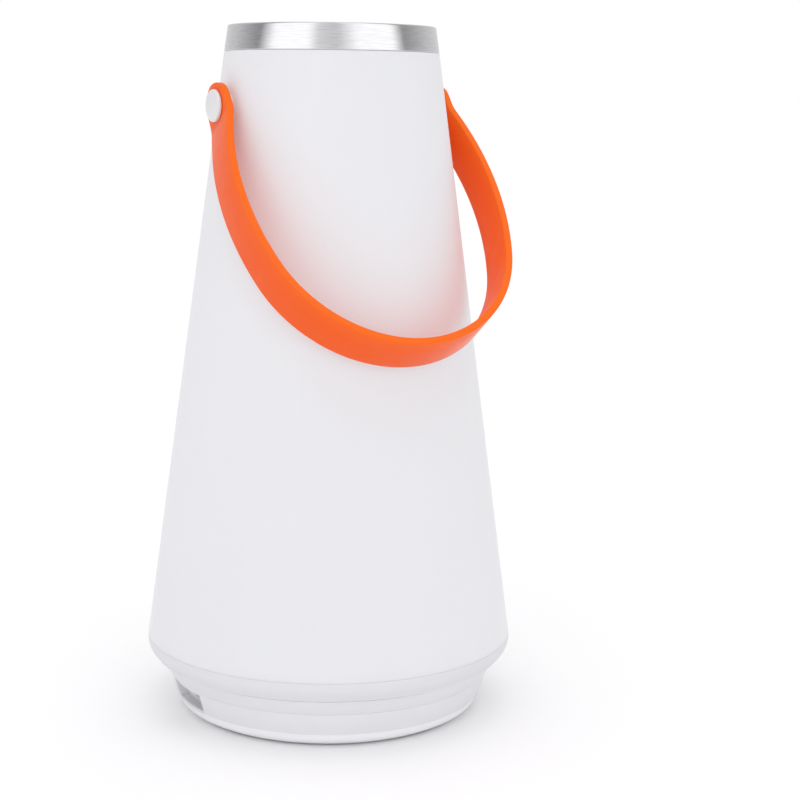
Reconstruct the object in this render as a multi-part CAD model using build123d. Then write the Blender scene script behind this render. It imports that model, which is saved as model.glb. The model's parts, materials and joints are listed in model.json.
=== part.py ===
"""Portable LED lantern: frosted cone shade, metal touch ring, round base and a swinging carry strap.

Frame: origin at the centre of the underside, +Z up. The strap pivots lie on the X axis,
the charging port is under the left pivot (-X) and the strap hangs towards the front (-Y).
All lengths are in millimetres.
"""

import os
from math import cos, radians, sin

from build123d import *

# ---------------------------------------------------------------- driving dimensions

# Lantern outline
TOTAL_HEIGHT = 202.6
RING_SEAM_Z = 195.1
RING_TOP_RADIUS = 30.1
SHADE_TOP_RADIUS = 31.2
SHADE_BOTTOM_RADIUS = 54.8
SHADE_SEAM_Z = 22.4
SHADE_WALL = 2.0

# Base outline, from the shade seam downwards
SHOULDER_DROP = 2.57
SHOULDER_RADIUS = 5.8
CHAMFER_FOOT = (52.4, 16.5)
GROOVE_DEPTH = 1.0
GROOVE_HEIGHT = 0.5
BAND_TOP_RADIUS = 51.2
BAND_BOTTOM = (48.1, 11.1)
FOOT_TOP_Z = 10.9
FOOT_TOP_RADIUS = 48.0
FOOT_CREASE = (46.2, 4.6)
FOOT_CREASE_STEP = 0.2
FOOT_ROUND_RADIUS = 5.2
FOOT_BOTTOM_RADIUS = 42.0
PAD_PROUD = 0.4

# Top ring, spigot and cap
SPIGOT_STEP = 1.8
SPIGOT_HEIGHT = 4.4
NECK_DROP = 2.0
RING_GAP = 0.35
RING_CLEARANCE = 0.1
RING_LIP_WIDTH = 3.2
RING_LIP_THICKNESS = 1.2
RING_RIM_RADIUS = 0.5

# Carry strap
PIVOT_Z = 179.6
PIVOT_X = 35.9
STRAP_WIDTH = 13.0
STRAP_THICKNESS = 2.1
STRAP_TILT = 37.8
STRAP_EDGE_RADIUS = 0.45
TAB_FLAT = 4.2
KICK_RADIUS = 4.0
FLARE_ANGLE = 18.8
SIDE_RADIUS = 79.8
BOTTOM_RADIUS = 38.8
BOTTOM_HALF_ANGLE = 72.5

# Strap rivets
SHANK_RADIUS = 2.0
RIVET_HEAD_RADIUS = 4.6
RIVET_HEAD_HEIGHT = 1.4
RIVET_RIM_RADIUS = 0.7
RIVET_TAIL = 0.8
SWIVEL_CLEARANCE = 0.06
FACE_CLEARANCE = 0.05
BOSS_RADIUS = 3.4
BOSS_OUTER_X = 34.2
BOSS_INNER_X = 30.4
RETAINER_THICKNESS = 1.2
RETAINER_RADIUS = 3.3
WASHER_RADIUS = 3.2

# Base shells
REGISTER_HEIGHT = 4.6
REGISTER_CLEARANCE = 0.12
REGISTER_WALL = 1.6
HOUSING_BORE = (46.0, 14.5)
HOUSING_HIP = (49.6, 18.8)
HOUSING_DECK_RADIUS = 50.6
FOOT_SPIGOT_RADIUS = 45.8
FOOT_SPIGOT_TOP_Z = 13.6
FOOT_BORE = (44.2, 6.2)
FOOT_FLOOR_RADIUS = 41.5
FLOOR_TOP_Z = 2.6
DECK_UNDER_Z = 22.4
DECK_TOP_Z = 24.4
PAD_RADIUS = 34.5
PAD_THICKNESS = 1.0
FOOT_SCREW_PITCH_RADIUS = 38.0
FOOT_SCREW_ANGLES = (45, 135, 225, 315)
FOOT_PILLAR_RADIUS = 4.4
HOUSING_PILLAR_RADIUS = 3.75
FOOT_SCREW_SHANK = 1.25
FOOT_SCREW_HEAD = 2.5
FOOT_SCREW_LENGTH = 14.0
HEAD_RECESS_RADIUS = 2.9
PILLAR_TOP_Z = 12.0
SCREW_SEAT_Z = 4.6

# Charging port
PORT_HALF_WIDTH = 9.0
PORT_BOTTOM_Z = 4.6
PORT_TOP_Z = 11.0
PORT_BACK_X = -43.0
PORT_WALL = 0.7
PORT_BACK_THICKNESS = 1.4
PANEL_INSET = 0.2
SOCKET_WIDTH = 7.5
SOCKET_HEIGHT = 2.6
SOCKET_LENGTH = 5.2

# Control board
BOARD_FRONT_X = -41.2
BOARD_REAR_X = -15.0
BOARD_HALF_WIDTH = 11.0
BOARD_BOTTOM_Z = 5.4
BOARD_THICKNESS = 1.2
BOARD_POST_X = -19.0
BOARD_POST_Y = 8.0
BOARD_POST_RADIUS = 2.4
BOARD_SCREW_SHANK = 0.85

# Battery, a standard 18650 cell lying along Y
CELL_RADIUS = 9.15
CELL_LENGTH = 65.0
CELL_X = 8.0
CELL_Z = FLOOR_TOP_Z + 0.8 + CELL_RADIUS
CELL_REAR_Y = 33.6
CRADLE_HALF_WIDTH = 10.6
CRADLE_HALF_LENGTH = 36.2

# Light engine
LED_BOARD_RADIUS = 32.0
LED_BOARD_THICKNESS = 1.6
LED_COUNT = 12
LED_CIRCLE_RADIUS = 20.0
LED_SIZE = 3.5
LED_HEIGHT = 0.8
LED_SCREW_RADIUS = 27.0
LED_SCREW_ANGLES = (0, 105, 255)
LED_SCREW_SHANK = 1.1
LED_SCREW_HEAD = 2.2
LED_SCREW_LENGTH = 5.5
LED_BOSS_RADIUS = 2.8
LED_BOSS_LOW_Z = 19.8

# Wiring
LEAD_RADIUS = 0.6
LEAD_PITCH = 2.4
LEAD_HOLE_RADIUS = 2.6
LED_LEAD_HOLE = (-37.0, 7.0)
TOUCH_ANGLE = 140.0
TOUCH_HOLE_RADIUS = 44.0
CONTACT_INNER_RADIUS = 25.6

BOARD_TOP_Z = BOARD_BOTTOM_Z + BOARD_THICKNESS
LED_BOARD_TOP_Z = DECK_TOP_Z + LED_BOARD_THICKNESS
SHADE_SLOPE = (SHADE_BOTTOM_RADIUS - SHADE_TOP_RADIUS) / (RING_SEAM_Z - SHADE_SEAM_Z)


# ---------------------------------------------------------------- helpers

def shade_radius(z):
    """Outer radius of the shade's straight cone at height z."""
    return SHADE_BOTTOM_RADIUS - SHADE_SLOPE * (z - SHADE_SEAM_Z)


def polar(radius, angle):
    """X and Y of a point at this radius and angle in degrees."""
    return radius * cos(radians(angle)), radius * sin(radians(angle))


def turned(points):
    """Solid of revolution about Z from (radius, z) points."""
    outline = make_face(Plane.XZ * Polyline(*points, close=True))
    return revolve(outline, Axis.Z)


def rod(radius, low_z, high_z, x=0.0, y=0.0):
    """Upright round bar between two heights."""
    height = high_z - low_z
    return Pos(x, y, low_z + height / 2) * Cylinder(radius, height)


def cross_rod(radius, low_x, high_x, z=PIVOT_Z):
    """Round bar along X between two places, on the strap's pivot axis."""
    length = high_x - low_x
    return Pos((low_x + high_x) / 2, 0, z) * Rot(0, 90, 0) * Cylinder(radius, length)


def block(x_range, y_range, z_range):
    """Box between three pairs of limits."""
    sizes = [high - low for low, high in (x_range, y_range, z_range)]
    middle = [(low + high) / 2 for low, high in (x_range, y_range, z_range)]
    return Pos(*middle) * Box(*sizes)


def wire_along(points, bends, radius=LEAD_RADIUS):
    """Insulated wire along straight runs joined by tangent arcs."""
    path = FilletPolyline(*points, radius=bends)
    section = Plane(origin=path @ 0, z_dir=path % 0) * Circle(radius)
    return sweep(section, path=path)


def screw(seat_z, length, shank_radius, head_radius, head_height, x, y, head_down):
    """Pan-head screw with a cross recess. head_down puts the head under its seat."""
    way = -1 if head_down else 1
    head_mid = seat_z + way * head_height / 2
    body = Pos(x, y, head_mid) * Cylinder(head_radius, head_height)
    crown = body.edges().filter_by(GeomType.CIRCLE).sort_by(Axis.Z)[0 if head_down else -1]
    body = fillet(crown, head_height * 0.45)
    low, high = sorted((seat_z, seat_z - way * length))
    body += rod(shank_radius, low, high, x, y)
    recess_z = seat_z + way * head_height
    for turn in (0, 90):
        slot = Box(head_radius * 1.2, head_radius * 0.24, head_height)
        body -= Pos(x, y, recess_z) * Rot(0, 0, turn) * slot
    return body


# ---------------------------------------------------------------- shade and top

def make_shade():
    """Hollow frosted cone with a spigot for the ring and a boss at each strap pivot."""
    spigot_radius = SHADE_TOP_RADIUS - SPIGOT_STEP
    spigot_top = RING_SEAM_Z + SPIGOT_HEIGHT
    spigot_inner = spigot_radius - SPIGOT_STEP
    neck_z = RING_SEAM_Z - NECK_DROP
    body = turned([
        (SHADE_BOTTOM_RADIUS, SHADE_SEAM_Z),
        (SHADE_TOP_RADIUS, RING_SEAM_Z),
        (spigot_radius, RING_SEAM_Z),
        (spigot_radius, spigot_top),
        (spigot_inner, spigot_top),
        (spigot_inner, neck_z),
        (shade_radius(neck_z - NECK_DROP) - SHADE_WALL, neck_z - NECK_DROP),
        (SHADE_BOTTOM_RADIUS - SHADE_WALL, SHADE_SEAM_Z),
    ])
    for side in (-1, 1):
        body += cross_rod(BOSS_RADIUS, *sorted((side * BOSS_INNER_X, side * BOSS_OUTER_X)))
    for side in (-1, 1):
        body -= cross_rod(SHANK_RADIUS + 0.03, *sorted((side * 25.0, side * 40.0)))
    notch = block((25.0, spigot_radius + 1.0), (-1.6, 1.6), (spigot_top - 3.0, spigot_top + 1.0))
    body -= Rot(0, 0, TOUCH_ANGLE) * notch
    return body


def make_top_ring():
    """Brushed metal touch ring that carries the cone's line up to the rim."""
    bore = SHADE_TOP_RADIUS - SPIGOT_STEP + RING_CLEARANCE
    bottom_z = RING_SEAM_Z + RING_GAP
    lip_under = TOTAL_HEIGHT - RING_LIP_THICKNESS
    body = turned([
        (bore, bottom_z),
        (SHADE_TOP_RADIUS - SHADE_SLOPE * RING_GAP, bottom_z),
        (RING_TOP_RADIUS, TOTAL_HEIGHT),
        (RING_TOP_RADIUS - RING_LIP_WIDTH, TOTAL_HEIGHT),
        (RING_TOP_RADIUS - RING_LIP_WIDTH, lip_under),
        (bore, lip_under),
    ])
    rims = body.edges().filter_by(GeomType.CIRCLE).filter_by(
        lambda edge: edge.center().Z > TOTAL_HEIGHT - 0.01)
    return fillet(rims, RING_RIM_RADIUS)


def make_top_cap():
    """White disc clamped between the shade's spigot and the ring's lip."""
    high = TOTAL_HEIGHT - RING_LIP_THICKNESS
    radius = SHADE_TOP_RADIUS - SPIGOT_STEP - RING_CLEARANCE
    return rod(radius, RING_SEAM_Z + SPIGOT_HEIGHT, high)


def make_touch_contact():
    """Sprung strip that passes the ring's touch signal in through the spigot notch."""
    inner = CONTACT_INNER_RADIUS
    outer = SHADE_TOP_RADIUS - SPIGOT_STEP + RING_CLEARANCE / 2
    low = RING_SEAM_Z + 2.0
    arm = block((inner, outer), (-1.2, 1.2), (low, low + 0.4))
    lug = block((inner, inner + 0.4), (-1.2, 1.2), (low - 3.0, low))
    spring = block((outer - 0.4, outer), (-1.2, 1.2), (low, low + 2.0))
    return Rot(0, 0, TOUCH_ANGLE) * (arm + lug + spring)


# ---------------------------------------------------------------- base

def base_outer_edge():
    """Housing outline from the shade seam down to its lower rim, as edges in XZ."""
    corner_z = SHADE_SEAM_Z - SHOULDER_DROP
    corner = (shade_radius(corner_z), corner_z)
    seam = (SHADE_BOTTOM_RADIUS, SHADE_SEAM_Z)
    groove_inner = CHAMFER_FOOT[0] - GROOVE_DEPTH
    groove_z = CHAMFER_FOOT[1] - GROOVE_HEIGHT
    shoulder = FilletPolyline(seam, corner, CHAMFER_FOOT, radius=SHOULDER_RADIUS)
    lower = Polyline(
        CHAMFER_FOOT,
        (groove_inner, CHAMFER_FOOT[1]),
        (groove_inner, groove_z),
        (BAND_TOP_RADIUS, groove_z),
        BAND_BOTTOM,
    )
    return [*shoulder.edges(), *lower.edges()]


def make_base_housing():
    """Upper base shell: rounded shoulder, tapered band, LED deck and screw bosses."""
    register_top = SHADE_SEAM_Z + REGISTER_HEIGHT
    register_low = SHADE_BOTTOM_RADIUS - SHADE_WALL - REGISTER_CLEARANCE
    register_high = shade_radius(register_top) - SHADE_WALL - REGISTER_CLEARANCE
    inside = Polyline(
        BAND_BOTTOM,
        (HOUSING_BORE[0], BAND_BOTTOM[1]),
        HOUSING_BORE,
        HOUSING_HIP,
        (HOUSING_DECK_RADIUS, DECK_UNDER_Z),
        (0, DECK_UNDER_Z),
        (0, DECK_TOP_Z),
        (register_high - REGISTER_WALL, DECK_TOP_Z),
        (register_high - REGISTER_WALL, register_top),
        (register_high, register_top),
        (register_low, SHADE_SEAM_Z),
        (SHADE_BOTTOM_RADIUS, SHADE_SEAM_Z),
    )
    outline = make_face(Plane.XZ * Wire([*base_outer_edge(), *inside.edges()]))
    body = revolve(outline, Axis.Z)
    for angle in FOOT_SCREW_ANGLES:
        x, y = polar(FOOT_SCREW_PITCH_RADIUS, angle)
        body += rod(HOUSING_PILLAR_RADIUS, PILLAR_TOP_Z, DECK_UNDER_Z, x, y)
        body -= rod(FOOT_SCREW_SHANK + 0.02, PILLAR_TOP_Z - 1, SCREW_SEAT_Z + FOOT_SCREW_LENGTH + 0.8, x, y)
    for angle in LED_SCREW_ANGLES:
        x, y = polar(LED_SCREW_RADIUS, angle)
        body += rod(LED_BOSS_RADIUS, LED_BOSS_LOW_Z, DECK_UNDER_Z, x, y)
        body -= rod(LED_SCREW_SHANK + 0.02, LED_BOSS_LOW_Z - 1, DECK_TOP_Z + 1, x, y)
    body -= rod(LEAD_HOLE_RADIUS, DECK_UNDER_Z - 1, DECK_TOP_Z + 1, *LED_LEAD_HOLE)
    body -= rod(1.4, DECK_UNDER_Z - 1, DECK_TOP_Z + 1, *polar(TOUCH_HOLE_RADIUS, TOUCH_ANGLE))
    return body


def foot_outer_edge(inset=0.0):
    """Foot outline from its upper rim down to its underside, as edges in XZ."""
    top = (FOOT_TOP_RADIUS - inset, FOOT_TOP_Z)
    crease = (FOOT_CREASE[0] - inset, FOOT_CREASE[1])
    round_start = (crease[0] - FOOT_CREASE_STEP, crease[1] - FOOT_CREASE_STEP)
    bottom = (FOOT_BOTTOM_RADIUS - inset, PAD_PROUD)
    wall = Polyline(top, crease, round_start)
    lower = RadiusArc(round_start, bottom, FOOT_ROUND_RADIUS)
    return [*wall.edges(), *lower.edges()]


def make_base_foot():
    """Bottom shell with a spigot into the housing, screw pillars, board posts and the port opening."""
    inside = Polyline(
        (FOOT_BOTTOM_RADIUS, PAD_PROUD),
        (PAD_RADIUS + 0.2, PAD_PROUD),
        (PAD_RADIUS + 0.2, PAD_THICKNESS),
        (0, PAD_THICKNESS),
        (0, FLOOR_TOP_Z),
        (FOOT_FLOOR_RADIUS, FLOOR_TOP_Z),
        FOOT_BORE,
        (FOOT_BORE[0], FOOT_SPIGOT_TOP_Z),
        (FOOT_SPIGOT_RADIUS, FOOT_SPIGOT_TOP_Z),
        (FOOT_SPIGOT_RADIUS, FOOT_TOP_Z),
        (FOOT_TOP_RADIUS, FOOT_TOP_Z),
    )
    outline = make_face(Plane.XZ * Wire([*foot_outer_edge(), *inside.edges()]))
    body = revolve(outline, Axis.Z)
    for angle in FOOT_SCREW_ANGLES:
        x, y = polar(FOOT_SCREW_PITCH_RADIUS, angle)
        body += rod(FOOT_PILLAR_RADIUS, FLOOR_TOP_Z - 0.5, PILLAR_TOP_Z, x, y)
        body -= rod(HEAD_RECESS_RADIUS, 0, SCREW_SEAT_Z, x, y)
        body -= rod(FOOT_SCREW_SHANK + 0.15, 0, PILLAR_TOP_Z + 1, x, y)
    for side in (-1, 1):
        y = side * BOARD_POST_Y
        body += rod(BOARD_POST_RADIUS, FLOOR_TOP_Z - 0.5, BOARD_BOTTOM_Z, BOARD_POST_X, y)
        body -= rod(BOARD_SCREW_SHANK + 0.02, 3.0, BOARD_BOTTOM_Z + 1, BOARD_POST_X, y)
    opening = block(
        (-55.0, -41.0),
        (-PORT_HALF_WIDTH, PORT_HALF_WIDTH),
        (PORT_BOTTOM_Z, BAND_BOTTOM[1] + 0.1),
    )
    return body - opening


def make_foot_pad():
    """Non-slip disc let into the foot's underside, inside the ring of screws."""
    return rod(PAD_RADIUS, 0, PAD_THICKNESS)


def make_foot_screws():
    """Four screws that hold the foot to the housing."""
    return Compound(children=[
        screw(SCREW_SEAT_Z, FOOT_SCREW_LENGTH, FOOT_SCREW_SHANK, FOOT_SCREW_HEAD, 1.8,
              *polar(FOOT_SCREW_PITCH_RADIUS, angle), True)
        for angle in FOOT_SCREW_ANGLES
    ])


# ---------------------------------------------------------------- charging port and board

def socket_middle_z():
    """Height of the socket's centre: it stands on the control board."""
    return BOARD_TOP_Z + SOCKET_HEIGHT / 2


def socket_face(width, height):
    """Outline of the socket's mouth in its own plane: flat top, lower corners bevelled."""
    half = width / 2
    bevel = height * 0.32
    return make_face(Polyline(
        (-half, height / 2),
        (half, height / 2),
        (half, bevel - height / 2),
        (half - bevel, -height / 2),
        (bevel - half, -height / 2),
        (-half, bevel - height / 2),
        close=True,
    ))


def socket_prism(width, height, front_x, rear_x):
    """Socket outline carried along X."""
    plane = Plane(origin=(front_x, 0, socket_middle_z()), x_dir=(0, 1, 0), z_dir=(1, 0, 0))
    return extrude(plane * socket_face(width, height), rear_x - front_x, dir=(1, 0, 0))


def make_port_panel():
    """Grey tub that lines the port recess, with the socket's slot in its back wall."""
    tub = block(
        (-50.0, PORT_BACK_X + PORT_BACK_THICKNESS),
        (-PORT_HALF_WIDTH, PORT_HALF_WIDTH),
        (PORT_BOTTOM_Z, PORT_TOP_Z),
    )
    closing = Polyline(
        (FOOT_BOTTOM_RADIUS - PANEL_INSET, PAD_PROUD),
        (0, PAD_PROUD),
        (0, PORT_TOP_Z + 1),
        (FOOT_TOP_RADIUS - PANEL_INSET, PORT_TOP_Z + 1),
        (FOOT_TOP_RADIUS - PANEL_INSET, FOOT_TOP_Z),
    )
    edges = [*foot_outer_edge(PANEL_INSET), *closing.edges()]
    tub &= revolve(make_face(Plane.XZ * Wire(edges)), Axis.Z)
    tub -= block(
        (-55.0, PORT_BACK_X),
        (PORT_WALL - PORT_HALF_WIDTH, PORT_HALF_WIDTH - PORT_WALL),
        (PORT_BOTTOM_Z + PORT_WALL, PORT_TOP_Z - PORT_WALL),
    )
    tub -= socket_prism(SOCKET_WIDTH + 0.2, SOCKET_HEIGHT + 0.2, PORT_BACK_X - 1, PORT_BACK_X + 2)
    return tub


def make_usb_socket_shell():
    """Folded steel shell of the micro-USB socket."""
    front = PORT_BACK_X - 0.2
    rear = front + SOCKET_LENGTH
    wall = 0.3
    shell = socket_prism(SOCKET_WIDTH, SOCKET_HEIGHT, front, rear)
    hollow = socket_prism(SOCKET_WIDTH - 2 * wall, SOCKET_HEIGHT - 2 * wall, front - 1, rear - wall)
    return shell - hollow


def make_usb_socket_tongue():
    """Black contact tongue inside the socket."""
    front = PORT_BACK_X + 0.6
    rear = PORT_BACK_X - 0.2 + SOCKET_LENGTH - 0.3
    middle = socket_middle_z() + 0.3
    return block((front, rear), (-1.9, 1.9), (middle - 0.3, middle + 0.3))


def make_control_board():
    """Charging and touch-dimming board on two posts."""
    board = block(
        (BOARD_FRONT_X, BOARD_REAR_X),
        (-BOARD_HALF_WIDTH, BOARD_HALF_WIDTH),
        (BOARD_BOTTOM_Z, BOARD_TOP_Z),
    )
    for side in (-1, 1):
        y = side * BOARD_POST_Y
        board -= rod(BOARD_SCREW_SHANK + 0.1, BOARD_BOTTOM_Z - 1, BOARD_TOP_Z + 1, BOARD_POST_X, y)
    return board


def make_board_components():
    """Charger chip, touch chip, inductor, capacitor and charge light on the board."""
    top = BOARD_TOP_Z
    charger = block((-33.0, -28.0), (-7.5, -3.5), (top, top + 1.5))
    touch = block((-26.0, -22.0), (-8.5, -5.5), (top, top + 1.4))
    inductor = rod(3.0, top, top + 3.0, -29.5, 1.5)
    capacitor = rod(2.0, top, top + 4.5, -22.5, 0.0)
    charge_light = block((-40.6, -39.0), (5.4, 6.2), (top, top + 0.8))
    return Compound(children=[charger, touch, inductor, capacitor, charge_light])


def make_board_screws():
    """Two small screws that hold the control board to its posts."""
    return Compound(children=[
        screw(BOARD_TOP_Z, 3.2, BOARD_SCREW_SHANK, 1.6, 1.0, BOARD_POST_X, side * BOARD_POST_Y, False)
        for side in (-1, 1)
    ])


# ---------------------------------------------------------------- battery

def make_battery_cell():
    """Rechargeable 18650 cell with its positive button."""
    front_y = CELL_REAR_Y - CELL_LENGTH
    can = Pos(CELL_X, (front_y + CELL_REAR_Y - 1.6) / 2, CELL_Z) * Rot(90, 0, 0)
    body = can * Cylinder(CELL_RADIUS, CELL_LENGTH - 1.6)
    body = fillet(body.edges().filter_by(GeomType.CIRCLE), 0.8)
    button = Pos(CELL_X, CELL_REAR_Y - 1.8, CELL_Z) * Rot(90, 0, 0) * Cylinder(2.9, 3.6)
    return body + button


def make_battery_cradle():
    """Open trough with end walls for the cell."""
    limits_x = (CELL_X - CRADLE_HALF_WIDTH, CELL_X + CRADLE_HALF_WIDTH)
    body = block(limits_x, (-CRADLE_HALF_LENGTH, CRADLE_HALF_LENGTH), (FLOOR_TOP_Z, 10.5))
    for side in (-1, 1):
        limits_y = sorted((side * (CRADLE_HALF_LENGTH - 1.4), side * CRADLE_HALF_LENGTH))
        body += block((CELL_X - 7.0, CELL_X + 7.0), limits_y, (FLOOR_TOP_Z, 17.0))
    trough = Pos(CELL_X, 0, CELL_Z) * Rot(90, 0, 0)
    body -= trough * Cylinder(CELL_RADIUS + 0.2, 2 * (CRADLE_HALF_LENGTH - 1.4))
    return body


def make_battery_contacts():
    """Flat positive contact and bowed negative leaf, each with a solder tab."""
    inner_wall = CRADLE_HALF_LENGTH - 1.4
    limits_x = (CELL_X - 4.0, CELL_X + 4.0)
    positive = block(limits_x, (CELL_REAR_Y, inner_wall), (CELL_Z - 5.0, 19.0))
    cell_front = CELL_REAR_Y - CELL_LENGTH
    plate = block(limits_x, (-inner_wall, -inner_wall + 0.4), (CELL_Z - 5.0, 19.0))
    rise = inner_wall - 0.4 + cell_front
    arc_outer = ThreePointArc((-4.5, 0), (0, rise), (4.5, 0))
    arc_inner = ThreePointArc((-4.1, 0), (0, rise - 0.35), (4.1, 0))
    bow = make_face([*arc_outer.edges(), *arc_inner.edges(),
                     Line((-4.5, 0), (-4.1, 0)), Line((4.1, 0), (4.5, 0))])
    standing = Plane(origin=(CELL_X - 2.5, 0.4 - inner_wall, CELL_Z), x_dir=(0, 0, -1), z_dir=(1, 0, 0))
    leaf = extrude(standing * bow, 5.0, dir=(1, 0, 0))
    return Compound(children=[positive, plate + leaf])


def make_battery_leads():
    """Positive and negative wires from the contacts to the board."""
    wires = []
    for side in (-1, 1):
        start_y = side * (CRADLE_HALF_LENGTH - 1.4 - 0.4)
        inset_y = start_y - side * LEAD_RADIUS
        wires.append(wire_along(
            [
                (CELL_X - 4.0, inset_y + side * 0.3, 18.2),
                (-4.0, inset_y + side * 0.3, 18.2),
                (-12.5, side * 20.0, 12.0),
                (-16.8, side * 4.0, 12.0),
                (-16.8, side * 4.0, BOARD_TOP_Z),
            ],
            [3.5, 6.0, 2.2],
        ))
    return Compound(children=wires)


# ---------------------------------------------------------------- light engine

def make_led_board():
    """Round aluminium LED board on the deck."""
    board = rod(LED_BOARD_RADIUS, DECK_TOP_Z, LED_BOARD_TOP_Z)
    for angle in LED_SCREW_ANGLES:
        x, y = polar(LED_SCREW_RADIUS, angle)
        board -= rod(LED_SCREW_SHANK + 0.15, DECK_TOP_Z - 1, LED_BOARD_TOP_Z + 1, x, y)
    return board


def make_led_chips():
    """Ring of surface-mounted LEDs."""
    chips = []
    for index in range(LED_COUNT):
        turn = Rot(0, 0, 360.0 * (index + 0.5) / LED_COUNT)
        place = Pos(LED_CIRCLE_RADIUS, 0, LED_BOARD_TOP_Z + LED_HEIGHT / 2)
        chips.append(turn * place * Box(LED_SIZE, LED_SIZE * 0.8, LED_HEIGHT))
    return Compound(children=chips)


def make_led_screws():
    """Three screws that hold the LED board to the deck."""
    return Compound(children=[
        screw(LED_BOARD_TOP_Z, LED_SCREW_LENGTH, LED_SCREW_SHANK, LED_SCREW_HEAD, 1.4,
              *polar(LED_SCREW_RADIUS, angle), False)
        for angle in LED_SCREW_ANGLES
    ])


def make_led_leads():
    """Pair of wires from the control board up through the deck to the LED board."""
    hole_x, hole_y = LED_LEAD_HOLE
    wires = []
    for index in (-0.5, 0.5):
        y = hole_y + index * LEAD_PITCH
        wires.append(wire_along(
            [
                (-33.5, y, BOARD_TOP_Z),
                (-33.5, y, 11.0),
                (hole_x, y, 16.0),
                (hole_x, y, 30.0),
                (-29.0, y, 30.0),
                (-29.0, y, LED_BOARD_TOP_Z),
            ],
            [2.0, 2.5, 3.0, 2.0],
        ))
    return Compound(children=wires)


def make_touch_lead():
    """Wire from the ring's contact strip down inside the shade to the control board."""
    def at(radius, z):
        return (*polar(radius, TOUCH_ANGLE), z)

    contact_z = RING_SEAM_Z - 0.2
    return wire_along(
        [
            at(CONTACT_INNER_RADIUS - LEAD_RADIUS, contact_z),
            at(CONTACT_INNER_RADIUS - LEAD_RADIUS, contact_z - 8.0),
            at(47.2, 32.0),
            at(TOUCH_HOLE_RADIUS, 27.0),
            at(TOUCH_HOLE_RADIUS, 17.0),
            (-37.5, 9.5, 12.5),
            (-37.5, 9.5, BOARD_TOP_Z),
        ],
        [12.0, 3.0, 2.5, 3.0, 2.2],
    )


# ---------------------------------------------------------------- strap and rivets

def strap_half_edge(offset):
    """Right half of the strap's U, offset from its middle line, from the tab's end to the lowest point."""
    flare = radians(FLARE_ANGLE)
    bottom_half = radians(BOTTOM_HALF_ANGLE)
    half_width = BOTTOM_RADIUS * sin(bottom_half) + SIDE_RADIUS * (1 - sin(bottom_half))
    run_out = (KICK_RADIUS + SIDE_RADIUS) * (1 - cos(flare))
    straight = (half_width - PIVOT_X - run_out) / sin(flare)
    x = PIVOT_X + offset
    tab = Line((x, STRAP_WIDTH / 2), (x, -TAB_FLAT))
    kick = JernArc(tab @ 1, tab % 1, KICK_RADIUS - offset, FLARE_ANGLE)
    run = Line(kick @ 1, (kick @ 1) + straight * (kick % 1))
    side = JernArc(run @ 1, run % 1, SIDE_RADIUS + offset, BOTTOM_HALF_ANGLE - 90 - FLARE_ANGLE)
    bottom = JernArc(side @ 1, side % 1, BOTTOM_RADIUS + offset, -BOTTOM_HALF_ANGLE)
    return [tab, kick, run, side, bottom]


def make_strap():
    """Flexible carry strap: a flat strip bent into a U with round pierced ends."""
    edges = []
    for offset in (-STRAP_THICKNESS / 2, STRAP_THICKNESS / 2):
        half = strap_half_edge(offset)
        edges += half
        edges += [mirror(edge, about=Plane.YZ) for edge in half]
    end_y = STRAP_WIDTH / 2
    for side in (-1, 1):
        inner = side * (PIVOT_X - STRAP_THICKNESS / 2)
        outer = side * (PIVOT_X + STRAP_THICKNESS / 2)
        edges.append(Line((inner, end_y), (outer, end_y)))
    band = extrude(make_face(edges), STRAP_WIDTH / 2, both=True)
    corner_box = Pos(0, end_y, 0) * Box(100, STRAP_WIDTH, STRAP_WIDTH * 1.2)
    corner_box -= Rot(0, 90, 0) * Cylinder(STRAP_WIDTH / 2, 110)
    band -= corner_box
    long_edges = band.edges().filter_by(
        lambda edge: abs(abs(edge.center().Z) - STRAP_WIDTH / 2) < 0.01)
    band = fillet(long_edges, STRAP_EDGE_RADIUS)
    band -= Rot(0, 90, 0) * Cylinder(SHANK_RADIUS + SWIVEL_CLEARANCE, 110)
    return Pos(0, 0, PIVOT_Z) * Rot(90 - STRAP_TILT, 0, 0) * band


def make_rivet(side):
    """White snap rivet: low domed head outside the strap and a shank into the shade."""
    under_head = PIVOT_X + STRAP_THICKNESS / 2 + FACE_CLEARANCE
    shank_end = BOSS_INNER_X - RETAINER_THICKNESS - RIVET_TAIL
    head = cross_rod(RIVET_HEAD_RADIUS, under_head, under_head + RIVET_HEAD_HEIGHT)
    rim = head.edges().filter_by(GeomType.CIRCLE).sort_by(Axis.X)[-1]
    head = fillet(rim, RIVET_RIM_RADIUS)
    body = head + cross_rod(SHANK_RADIUS, shank_end, under_head)
    return body if side > 0 else mirror(body, about=Plane.YZ)


def make_washer(side):
    """Spacer washer between the shade's boss and the strap."""
    outer = PIVOT_X - STRAP_THICKNESS / 2 - FACE_CLEARANCE
    body = cross_rod(WASHER_RADIUS, BOSS_OUTER_X, outer)
    body -= cross_rod(SHANK_RADIUS + 0.05, BOSS_OUTER_X - 1, outer + 1)
    return body if side > 0 else mirror(body, about=Plane.YZ)


def make_retainer(side):
    """Push-on retaining washer that locks the rivet inside the shade."""
    body = cross_rod(RETAINER_RADIUS, BOSS_INNER_X - RETAINER_THICKNESS, BOSS_INNER_X)
    body -= cross_rod(SHANK_RADIUS + 0.01, BOSS_INNER_X - 3, BOSS_INNER_X + 1)
    return body if side > 0 else mirror(body, about=Plane.YZ)


# ---------------------------------------------------------------- export

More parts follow.
